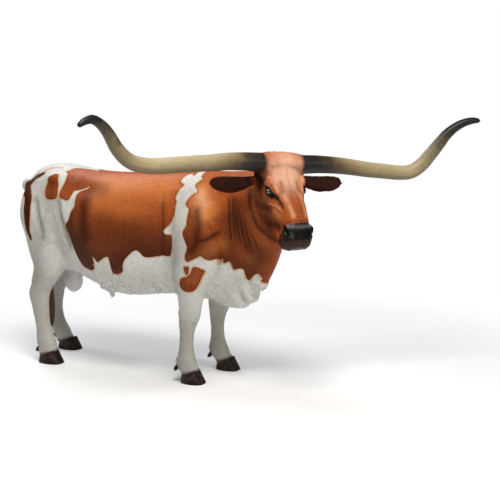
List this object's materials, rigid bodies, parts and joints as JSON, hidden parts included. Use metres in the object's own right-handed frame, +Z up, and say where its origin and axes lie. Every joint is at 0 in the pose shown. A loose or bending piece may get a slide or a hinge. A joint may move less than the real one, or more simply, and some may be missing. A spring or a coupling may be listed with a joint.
{
  "type": "life-size longhorn cattle statue",
  "caption": "Life-size painted resin statue of a standing Texas longhorn bull, head turned to its right, with very wide horns; it rests on its own hoofs.",
  "frame": {"origin": "on the floor, under the middle of the whole outline, horns included", "axes": "+X from the rump to the brisket, +Y to the animal's left, +Z up"},
  "size_m": [3.211, 2.1716, 1.8337],
  "materials": {
    "coat_white": "painted resin, satin, moulded hair",
    "coat_brown": "painted resin, satin, moulded hair",
    "hoof_black": "painted resin, satin",
    "horn_cream": "painted resin, semi-gloss",
    "eye_dark": "high gloss"
  },
  "bodies": {
    "root": {"ear_left": "coat_brown", "ear_right": "coat_brown", "eye_left": "eye_dark", "eye_right": "eye_dark", "foreleg_left": "coat_white", "foreleg_left_claw_a": "hoof_black", "foreleg_left_claw_b": "hoof_black", "foreleg_left_dewclaw_a": "hoof_black", "foreleg_left_dewclaw_b": "hoof_black", "foreleg_right": "coat_white", "foreleg_right_claw_a": "hoof_black", "foreleg_right_claw_b": "hoof_black", "foreleg_right_dewclaw_a": "hoof_black", "foreleg_right_dewclaw_b": "hoof_black", "head": "coat_brown", "hindleg_left": "coat_white", "hindleg_left_claw_a": "hoof_black", "hindleg_left_claw_b": "hoof_black", "hindleg_left_dewclaw_a": "hoof_black", "hindleg_left_dewclaw_b": "hoof_black", "hindleg_right": "coat_white", "hindleg_right_claw_a": "hoof_black", "hindleg_right_claw_b": "hoof_black", "hindleg_right_dewclaw_a": "hoof_black", "hindleg_right_dewclaw_b": "hoof_black", "horn_left": "horn_cream", "horn_right": "horn_cream", "neck": "coat_brown", "scrotum": "coat_white", "tail": "coat_white", "trunk": "coat_white"}
  },
  "joints": []
}
